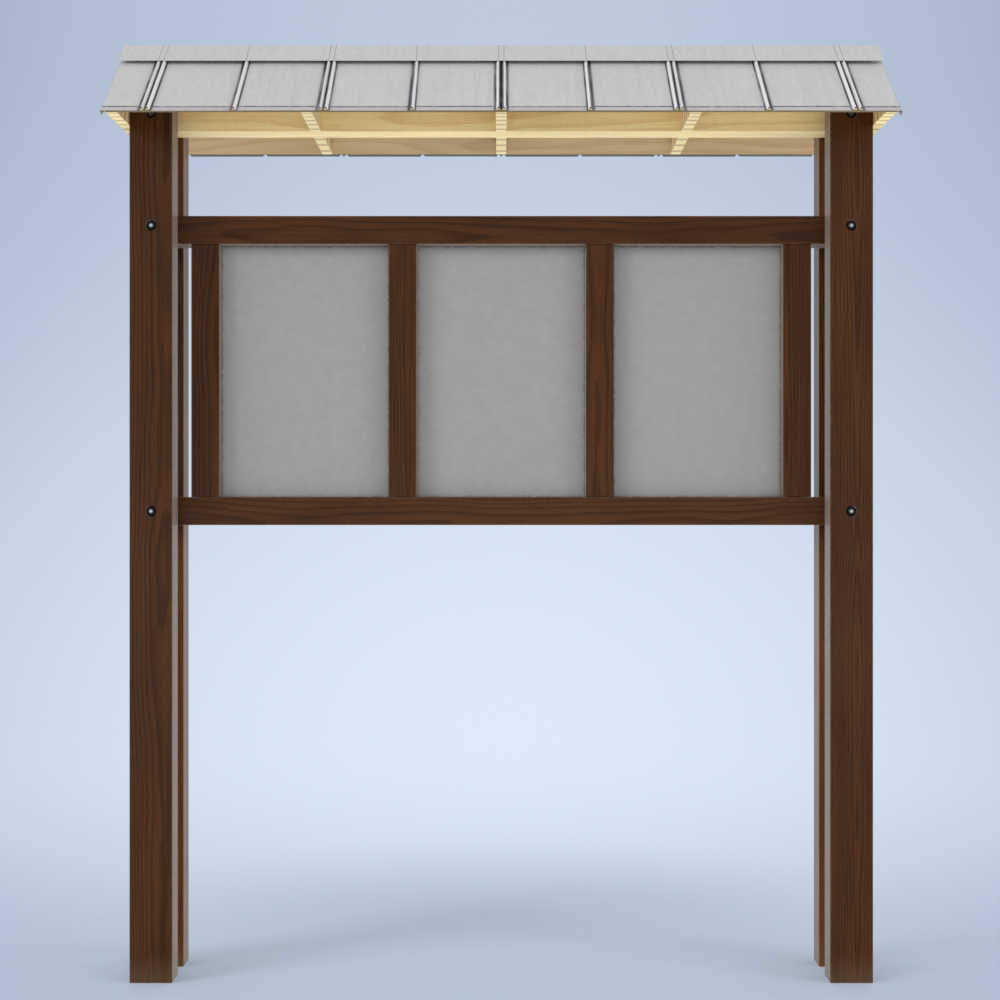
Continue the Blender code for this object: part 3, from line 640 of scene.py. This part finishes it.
def rib_grime_and_shade(graph, place, from_lap, from_middle):
    """Where grime and painted shade lie: along the bend at the eave, the bases of the ribs and the
    laps.
    """
    in_sheet = graph.math("FLOORED_MODULO", from_middle, SHEET_COVER)
    return graph.largest(
        graph.near(place["Reach"], KICK_REACH, KICK_SHADE_AND_GRIME),
        graph.near(in_sheet, RIB_WIDTH, OUTER_BASE_SHADE_AND_GRIME),
        graph.near(in_sheet, HALF_COVER + HALF_RIB, OUTER_BASE_SHADE_AND_GRIME),
        graph.near(in_sheet, SHEET_COVER - RIB_WIDTH, INNER_BASE_SHADE_AND_GRIME),
        graph.near(in_sheet, HALF_COVER - HALF_RIB, INNER_BASE_SHADE_AND_GRIME),
        graph.near(from_lap, 0.0, LAP_SHADE_AND_GRIME),
    )


def worn_sheet(graph, colour, place, flat, from_lap):
    """Painted highlights with some washing on the rib tops, painted shade on one flank and the lip, and
    grime with painted shade along the bends.
    """
    across_normal, _, up_normal = graph.split(graph.add("ShaderNodeNewGeometry").outputs["True Normal"])
    from_middle = graph.math("ABSOLUTE", place["Across"])
    rise = graph.math("SUBTRACT", place["Height"], SHEET_SEAT)
    broken = graph.spread(graph.noise(flat, GRIME_BREAKS, 3.0), 0.30, 0.62, *ROOF_METAL["grime_and_shade_mix"])
    # Rib tops painted near white: a painted highlight, with some rain-washing
    washed_highlight = graph.spread(rise, RIB_HEIGHT * 0.20, RIB_HEIGHT * 0.5, 0.0, ROOF_METAL["washed_highlight_mix"])
    colour = graph.mix(washed_highlight, colour, ROOF_METAL["washed_highlight"])
    # One flank of each rib painted dark: painted shade
    outwards = graph.times(graph.math("SIGN", place["Across"]), across_normal)
    outwards = graph.times(outwards, graph.spread(from_middle, *MIDDLE_RIBS, -1.0, 1.0))
    share = graph.spread(broken, *ROOF_METAL["grime_and_shade_mix"], *ROOF_METAL["shaded_flank_mix"])
    shaded_flank = graph.times(graph.spread(outwards, 0.25, 0.55), share)
    colour = graph.mix(shaded_flank, colour, ROOF_METAL["shaded_flank"])
    # The lip past the kick painted darker: painted shade of its steeper face
    past_kick = graph.spread(
        place["Reach"], KICK_REACH, KICK_REACH + LIP_FADE, 0.0, ROOF_METAL["lip_shade_mix"],
    )
    off_ribs = graph.spread(rise, RIB_HEIGHT * 0.2, RIB_HEIGHT * 0.4, 1.0, 0.0)
    colour = graph.mix(graph.times(past_kick, off_ribs), colour, ROOF_METAL["lip_shade"])
    # Dark lines in the bend, at the rib bases and in the laps: painted shade with grime
    low = graph.spread(rise, RIB_HEIGHT * 0.3, RIB_HEIGHT * 0.7, 1.0, 0.0)
    grime_and_shade = graph.times(rib_grime_and_shade(graph, place, from_lap, from_middle), low, broken)
    colour = graph.mix(grime_and_shade, colour, ROOF_METAL["grime_and_shade"])
    return graph.mix(graph.spread(up_normal, 0.0, -0.1), colour, ROOF_METAL["underside"])


def roof_metal_finish(name, seed, is_cap):
    """Light grey coated sheet: a faint spangle, rain streaks and clouds, and its own wear."""
    material, graph, shader, position = new_finish(name)
    place = graph.group(SLOPE_PLACE, {"Position": position})
    flat = graph.vector("ADD", graph.join(place["Across"], place["Reach"], 0.0), seed)
    streaks = graph.noise(flat, RAIN_STREAKS, 4.0, 0.6)
    clouds = graph.noise(flat, METAL_CLOUDS, 3.0, 0.55)
    spangle = graph.add("ShaderNodeTexVoronoi", {"Vector": flat, "Scale": SPANGLE_SCALE})
    flake = graph.split(spangle.outputs["Color"])["X"]
    streaked = graph.spread(streaks, 0.45, 0.75, 0.0, ROOF_METAL["streak_mix"])
    clouded = graph.spread(clouds, 0.35, 0.75, 0.0, ROOF_METAL["cloud_mix"])
    colour = graph.mix(streaked, ROOF_METAL["base"], ROOF_METAL["streak"])
    colour = graph.mix(clouded, colour, ROOF_METAL["cloud"])
    colour = graph.tone(colour, graph.spread(flake, 0.0, 1.0, *ROOF_METAL["spangle"]))
    from_lap = graph.math("PINGPONG", place["Across"], HALF_COVER)
    if is_cap:
        colour = creased_cap(graph, colour, from_lap)
    else:
        colour = worn_sheet(graph, colour, place, flat, from_lap)
    graph.feed(shader.inputs["Base Color"], colour)
    graph.feed(shader.inputs["Roughness"], graph.spread(streaks, 0.3, 0.8, *ROOF_METAL["rough"]))
    set_all_over(shader, {
        "Metallic": ROOF_METAL["metallic"], "Specular IOR Level": ROOF_METAL["specular"],
    })
    bump(graph, shader, clouds, ROOF_METAL["relief"], ROOF_METAL["relief_strength"])
    return material


def board_finish(name, low, high, seed):
    """A grey weatherproof board with a fine even tooth, and shade painted round it in the corners, with
    some dirt.
    """
    material, graph, shader, position = new_finish(name)
    place = graph.vector("ADD", position, seed)
    tooth = graph.noise(place, BOARD_TOOTH, 3.0, 0.6)
    mottled = graph.spread(graph.noise(place, BOARD_MOTTLE, 5.0, 0.65), 0.3, 0.7)
    flecks = graph.noise(place, BOARD_FLECKS, 2.0, 0.5)
    flecked = graph.spread(flecks, 0.55, 0.72, 0.0, GREY_BOARD["fleck_mix"])
    toothed = graph.spread(tooth, 0.35, 0.7, 0.0, GREY_BOARD["tooth_mix"])
    colour = graph.mix(mottled, GREY_BOARD["base"], GREY_BOARD["mottle"])
    colour = graph.mix(flecked, colour, GREY_BOARD["fleck"])
    colour = graph.mix(toothed, colour, GREY_BOARD["tooth"])
    in_groove = Vector((PANEL_IN_GROOVE, 0.0, PANEL_IN_GROOVE))
    # Painted shade, with some dirt, round the edges where the board goes into its frame
    rim = graph.group(ARRIS_MASK, {
        "Position": position, "Low": low + in_groove, "High": high - in_groove, "Width": PANEL_RIM,
    })["Mask"]
    colour = graph.cover(colour, rim, GREY_BOARD["edge_shade_and_dirt_mix"], GREY_BOARD["edge_shade_and_dirt"])
    graph.feed(shader.inputs["Base Color"], colour)
    graph.feed(shader.inputs["Roughness"], graph.spread(tooth, 0.3, 0.7, *GREY_BOARD["rough"]))
    bump(graph, shader, tooth, GREY_BOARD["relief"])
    return material


def bolt_thread(graph, from_bolt, y):
    """Ridges round the back end of a bolt's shank."""
    ridge = graph.math("PINGPONG", y, HALF_THREAD)
    on_shank = graph.times(
        graph.math("LESS_THAN", from_bolt, BOLT_RADIUS + THREAD_EDGE),
        graph.spread(from_bolt, BOLT_RADIUS * 0.93, BOLT_RADIUS * 0.97),
        graph.math("GREATER_THAN", y, THREAD_START_Y),
    )
    return graph.times(ridge, THREAD_OVER_BRUSH_MARKS / HALF_THREAD, on_shank)


def zinc_finish(name, look):
    """Plated steel: brushed by the tool, with cloudy bloom, and darkened outside a bright middle.

    The darkening, painted shade with some soil, and the thread keep to the bolts, whose middle lines
    they are measured from. Under the eaves the bolts are darkened all over, as painted shade.
    """
    material, graph, shader, position = new_finish(name)
    bloom = graph.noise(position, ZINC_BLOOM, 4.0, 0.65)
    colour = graph.mix(graph.spread(bloom, 0.35, 0.68), look["bright"], look["dull"])
    from_bolt = graph.group(BOLT_DISTANCE, {"Position": position})["Distance"]
    _, y, z = graph.split(position)
    # Painted shade, with some soil, round the head's bright middle and all over under the eaves
    shaded_or_soiled = graph.largest(
        graph.spread(from_bolt, HEAD_BRIGHT_RADIUS, HEAD_BRIGHT_RADIUS + HEAD_BRIGHT_FADE),
        graph.math("GREATER_THAN", z, EAVE_Z),
    )
    shade_and_soil_mask = graph.times(shaded_or_soiled, graph.math("LESS_THAN", from_bolt, COUNTERBORE_RADIUS))
    colour = graph.cover(colour, shade_and_soil_mask, look["shade_and_soil_share"], BOLT_SHADE_AND_SOIL)
    graph.feed(shader.inputs["Base Color"], colour)
    graph.feed(shader.inputs["Roughness"], graph.spread(bloom, 0.3, 0.7, *look["rough"]))
    set_all_over(shader, {"Metallic": ZINC_METALLIC})
    brushed = graph.noise(position, BRUSH_MARKS, 2.0)
    bump(graph, shader, graph.math("ADD", brushed, bolt_thread(graph, from_bolt, y)), ZINC_RELIEF)
    return material


def dress(name, material):
    """Gives a carried-over part its finish."""
    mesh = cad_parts[name].data
    mesh.materials.clear()
    mesh.materials.append(material)


def part_seed(kind, index=0):
    """A different stretch of the pattern for each piece."""
    steps = SEED_STARTS[kind] + index
    return tuple(step * steps + first for step, first in zip(SEED_STEP, FIRST_SEED))


def dress_uprights():
    """Posts and stiles have their grain upright, and the heart of the log lies beside them."""
    names = [
        "front_left_post", "front_right_post", "rear_left_post", "rear_right_post",
        "left_outer_stile", "left_inner_stile", "right_inner_stile", "right_outer_stile",
    ]
    for index, name in enumerate(names):
        low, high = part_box(name)
        middle = (low + high) / 2.0
        beside, behind = UPRIGHT_PITH
        pith = (0.0, middle.x + beside - PITH_STEP * (index % 4), middle.y + behind * (-1) ** index)
        look = REAR_LIGHTENED_STAIN if "rear" in name else BROWN_STAIN
        if "stile" in name:
            look = {**look, "splash": 0.0, "shoulders": STILE_SHOULDERS}
        seed = part_seed("upright", index)
        dress(name, timber_finish(name + "_timber", look, "ZXY", low, high, seed, pith))


def dress_long_timbers():
    """Rails and beam have their grain along the kiosk."""
    for index, name in enumerate(("lower_rail", "upper_rail", "top_beam")):
        low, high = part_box(name)
        middle = (low + high) / 2.0
        behind, above = LONG_PITH
        pith = (0.0, middle.y + behind, middle.z + above + PITH_STEP * index)
        look = NATURAL_PLANED if name == "top_beam" else {**BROWN_STAIN, "splash": 0.0}
        seed = part_seed("long_timber", index)
        dress(name, timber_finish(name + "_timber", look, "XYZ", low, high, seed, pith))


def dress_trusses():
    """Wide boards on end, so that broad rings cross the lower edge."""
    names = ["left_end_truss", "left_truss", "centre_truss", "right_truss", "right_end_truss"]
    for index, name in enumerate(names):
        low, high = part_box(name)
        pith = (0.0, -TRUSS_PITH, (low.x + high.x) / 2.0)
        seed = part_seed("truss", index)
        dress(name, timber_finish(name + "_timber", NATURAL_BANDED, "ZYX", low, high, seed, pith))


def dress_roof():
    """The decks, the sheets on both slopes and the cap, each with its own stretch of pattern."""
    for index, name in enumerate(("front_deck", "rear_deck")):
        _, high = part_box(name)
        dress(name, plywood_finish(name + "_plywood", high.x, part_seed("deck", index)))
    for slope_index, slope in enumerate(("front", "rear")):
        for sheet_index in range(SHEETS_PER_SLOPE):
            name = f"{slope}_roof_sheet_{sheet_index + 1}"
            seed = part_seed("sheet", SHEETS_PER_SLOPE * slope_index + sheet_index)
            dress(name, roof_metal_finish(name + "_metal", seed, is_cap=False))
    dress("ridge_cap", roof_metal_finish("ridge_cap_metal", part_seed("cap"), is_cap=True))


def dress_panels():
    """The three notice panels."""
    for index, name in enumerate(("left_panel", "centre_panel", "right_panel")):
        low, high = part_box(name)
        dress(name, board_finish(name + "_board", low, high, part_seed("panel", index)))


def dress_fasteners():
    """Bolts, nuts and washers. The bolts' finish is handed on to the screws."""
    finishes = {kind: zinc_finish(kind + "_zinc", look) for kind, look in ZINC_LOOKS.items()}
    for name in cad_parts:
        kind = name.split("_")[-1]
        if kind in finishes:
            dress(name, finishes[kind])
    return finishes["bolt"]


def make_screw_tree(metal):
    """Puts a flanged screw head with a six-sided recess on each point, facing out along X."""
    tree = bpy.data.node_groups.new("truss_screws", "GeometryNodeTree")
    tree.interface.new_socket("Geometry", in_out="INPUT", socket_type="NodeSocketGeometry")
    for name in ("Head Radius", "Head Height", "Flange Height", "Recess Radius", "Recess Depth"):
        tree.interface.new_socket(name, in_out="INPUT", socket_type=FLOAT)
    tree.interface.new_socket("Geometry", in_out="OUTPUT", socket_type="NodeSocketGeometry")
    graph = Graph(tree)
    given = tree.nodes.new("NodeGroupInput").outputs
    result = tree.nodes.new("NodeGroupOutput").inputs

    def disc(radius, depth, low, sides, taper=1.0):
        """A short cylinder or cone that stands on a level."""
        cone = graph.add("GeometryNodeMeshCone", {
            "Vertices": sides, "Radius Bottom": radius, "Radius Top": graph.times(radius, taper),
            "Depth": depth,
        })
        raised = graph.add("GeometryNodeTransform", {
            "Geometry": cone.outputs["Mesh"], "Translation": graph.join(0.0, 0.0, low),
        })
        return raised.outputs["Geometry"]

    flange = disc(given["Head Radius"], given["Flange Height"], 0.0, SCREW_SIDES, SCREW_FLANGE_TAPER)
    crown_radius = graph.times(given["Head Radius"], SCREW_CROWN_SHARE)
    crown_height = graph.math("SUBTRACT", given["Head Height"], given["Flange Height"])
    crown = disc(crown_radius, crown_height, given["Flange Height"], SCREW_SIDES, SCREW_CROWN_TAPER)
    recess_floor = graph.math("SUBTRACT", given["Head Height"], given["Recess Depth"])
    recess = disc(given["Recess Radius"], given["Head Height"], recess_floor, RECESS_SIDES)
    head = graph.add("GeometryNodeMeshBoolean", operation="UNION")
    for solid in (flange, crown):
        graph.feed(head.inputs["Mesh 2"], solid)
    cut = graph.add("GeometryNodeMeshBoolean", {"Mesh 1": head.outputs["Mesh"]}, operation="DIFFERENCE")
    graph.feed(cut.inputs["Mesh 2"], recess)
    side = graph.math("SIGN", graph.split(graph.add("GeometryNodeInputPosition").outputs[0])["X"])
    outwards = graph.add(
        "FunctionNodeAlignRotationToVector", {"Vector": graph.join(side, 0.0, 0.0)}, axis="Z",
    )
    placed = graph.add("GeometryNodeInstanceOnPoints", {
        "Points": given["Geometry"], "Instance": cut.outputs["Mesh"], "Rotation": outwards.outputs[0],
    })
    realized = graph.add("GeometryNodeRealizeInstances", {"Geometry": placed.outputs[0]})
    painted = graph.add("GeometryNodeSetMaterial", {"Geometry": realized.outputs[0], "Material": metal})
    graph.feed(result["Geometry"], painted.outputs[0])
    return tree


def plain_mesh_from(source, name):
    """Turns the result of an object's modifiers into a plain mesh of a new object."""
    evaluated = source.evaluated_get(bpy.context.evaluated_depsgraph_get())
    mesh = bpy.data.meshes.new_from_object(evaluated)
    mesh.name = name
    bpy.data.objects.remove(source, do_unlink=True)
    piece = bpy.data.objects.new(name, mesh)
    bpy.context.collection.objects.link(piece)
    return piece


def make_truss_screws(metal):
    """Four screws through each end truss, two into each post behind it."""
    points = []
    for end, side in (("left", -1.0), ("right", 1.0)):
        low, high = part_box(f"{end}_end_truss")
        face_x = low.x if side < 0.0 else high.x
        for y, z in SCREW_PLACES:
            points += [(face_x, -y, z), (face_x, y, z)]
    mesh = bpy.data.meshes.new("screw_points")
    mesh.from_pydata(points, [], [])
    source = bpy.data.objects.new("screw_points", mesh)
    bpy.context.collection.objects.link(source)
    tree = make_screw_tree(metal)
    modifier = source.modifiers.new("truss_screws", "NODES")
    modifier.node_group = tree
    sizes = {
        "Head Radius": SCREW_HEAD_RADIUS, "Head Height": SCREW_HEAD_HEIGHT,
        "Flange Height": SCREW_FLANGE_HEIGHT, "Recess Radius": SCREW_RECESS_RADIUS,
        "Recess Depth": SCREW_RECESS_DEPTH,
    }
    for socket in tree.interface.items_tree:
        if socket.item_type == "SOCKET" and socket.name in sizes:
            modifier[socket.identifier] = sizes[socket.name]
    screws = plain_mesh_from(source, "truss_screws")
    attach(screws, "root")


def make_floor():
    """A round pale floor that keeps the kiosk's shadow and fades into the backdrop.

    It lets the floor light through, which stands for more of the light that a pale floor throws up.
    """
    mesh_data = bmesh.new()
    bmesh.ops.create_circle(mesh_data, cap_ends=True, segments=FLOOR_SEGMENTS, radius=FLOOR_RADIUS)
    mesh = bpy.data.meshes.new("floor")
    mesh_data.to_mesh(mesh)
    mesh_data.free()
    floor = bpy.data.objects.new("floor", mesh)
    bpy.context.collection.objects.link(floor)
    material, graph, shader, position = new_finish("pale_floor")
    material.node_tree.nodes.remove(shader)
    rays = graph.add("ShaderNodeLightPath").outputs
    seen = graph.largest(rays["Is Camera Ray"], rays["Is Glossy Ray"])
    matt = graph.add("ShaderNodeBsdfDiffuse", {"Color": graph.mix(seen, FLOOR_LIT, FLOOR_SEEN)})
    clear = graph.add("ShaderNodeBsdfTransparent")
    away = graph.vector("LENGTH", position, output="Value")
    fade = graph.times(graph.spread(away, *FLOOR_FADE), rays["Is Camera Ray"])
    mixed = graph.add("ShaderNodeMixShader", {0: fade, 1: matt.outputs[0], 2: clear.outputs[0]})
    graph.feed(material.node_tree.nodes["Material Output"].inputs["Surface"], mixed.outputs[0])
    mesh.materials.append(material)
    floor.visible_shadow = False


def make_backdrop():
    """Even white light from all round. The camera and shiny parts see a pale blue backdrop."""
    world = bpy.data.worlds.new("backdrop")
    world.use_nodes = True
    bpy.context.scene.world = world
    graph = Graph(world.node_tree)
    world.node_tree.nodes.remove(world.node_tree.nodes["Background"])
    x, _, z = graph.split(graph.add("ShaderNodeTexCoord").outputs["Generated"])
    away_in_height = graph.math("ADD", graph.spread(z, *BACKDROP_RISE), graph.spread(z, *BACKDROP_FALL))
    aside = graph.math("POWER", graph.math("DIVIDE", x, BACKDROP_SIDE), 2.0, clamp=True)
    height_share = graph.times(away_in_height, BACKDROP_HEIGHT_SHARE)
    darkened = graph.math("MULTIPLY_ADD", aside, BACKDROP_SIDE_SHARE, height_share)
    colour = graph.mix(darkened, BACKDROP_MIDDLE, BACKDROP_EDGE)
    room = graph.add("ShaderNodeBackground", {"Color": WHITE, "Strength": ROOM_LIGHT})
    seen = graph.add("ShaderNodeBackground", {"Color": colour, "Strength": 1.0})
    rays = graph.add("ShaderNodeLightPath").outputs
    shiny = graph.largest(rays["Is Glossy Ray"], rays["Is Transmission Ray"])
    factor = graph.largest(rays["Is Camera Ray"], shiny)
    mixed = graph.add("ShaderNodeMixShader", {0: factor, 1: room.outputs[0], 2: seen.outputs[0]})
    graph.feed(world.node_tree.nodes["World Output"].inputs["Surface"], mixed.outputs[0])


def place_lamp(light, place, turn):
    """Hangs a light in the scene."""
    lamp = bpy.data.objects.new(light.name, light)
    lamp.location = place
    lamp.rotation_euler = turn
    bpy.context.collection.objects.link(lamp)


def make_far_light(name, strength, angle, turn):
    """Broad soft light from far away, so that it's as strong all over the kiosk."""
    light = bpy.data.lights.new(name, "SUN")
    light.energy = strength
    light.angle = angle
    place_lamp(light, (0.0, 0.0, 0.0), turn)


def make_low_light():
    """A wide panel near the floor, for what lies under the roof."""
    light = bpy.data.lights.new("low_light", "AREA")
    light.shape = "RECTANGLE"
    light.size, light.size_y = LOW_LIGHT_SIZE
    light.energy = LOW_LIGHT_POWER
    place_lamp(light, LOW_LIGHT_PLACE, LOW_LIGHT_TURN)


def make_camera():
    """Level, straight ahead, at eye height."""
    data = bpy.data.cameras.new("camera")
    data.sensor_width = CAMERA_SENSOR
    data.lens = CAMERA_LENS
    data.shift_x, data.shift_y = CAMERA_SHIFT
    camera = bpy.data.objects.new("camera", data)
    camera.location = (0.0, CAMERA_Y, CAMERA_Z)
    camera.rotation_euler = (math.pi / 2.0, 0.0, 0.0)
    bpy.context.collection.objects.link(camera)
    bpy.context.scene.camera = camera


make_camera()
make_floor()
make_backdrop()
make_far_light("left_light", LEFT_LIGHT_STRENGTH, SIDE_LIGHT_ANGLE, LEFT_LIGHT_TURN)
make_far_light("right_light", RIGHT_LIGHT_STRENGTH, SIDE_LIGHT_ANGLE, RIGHT_LIGHT_TURN)
make_far_light("floor_light", FLOOR_LIGHT_STRENGTH, FLOOR_LIGHT_ANGLE, FLOOR_LIGHT_TURN)
make_low_light()
bpy.context.scene.view_settings.view_transform = "Standard"

dress_uprights()
dress_long_timbers()
dress_trusses()
dress_roof()
dress_panels()
make_truss_screws(dress_fasteners())
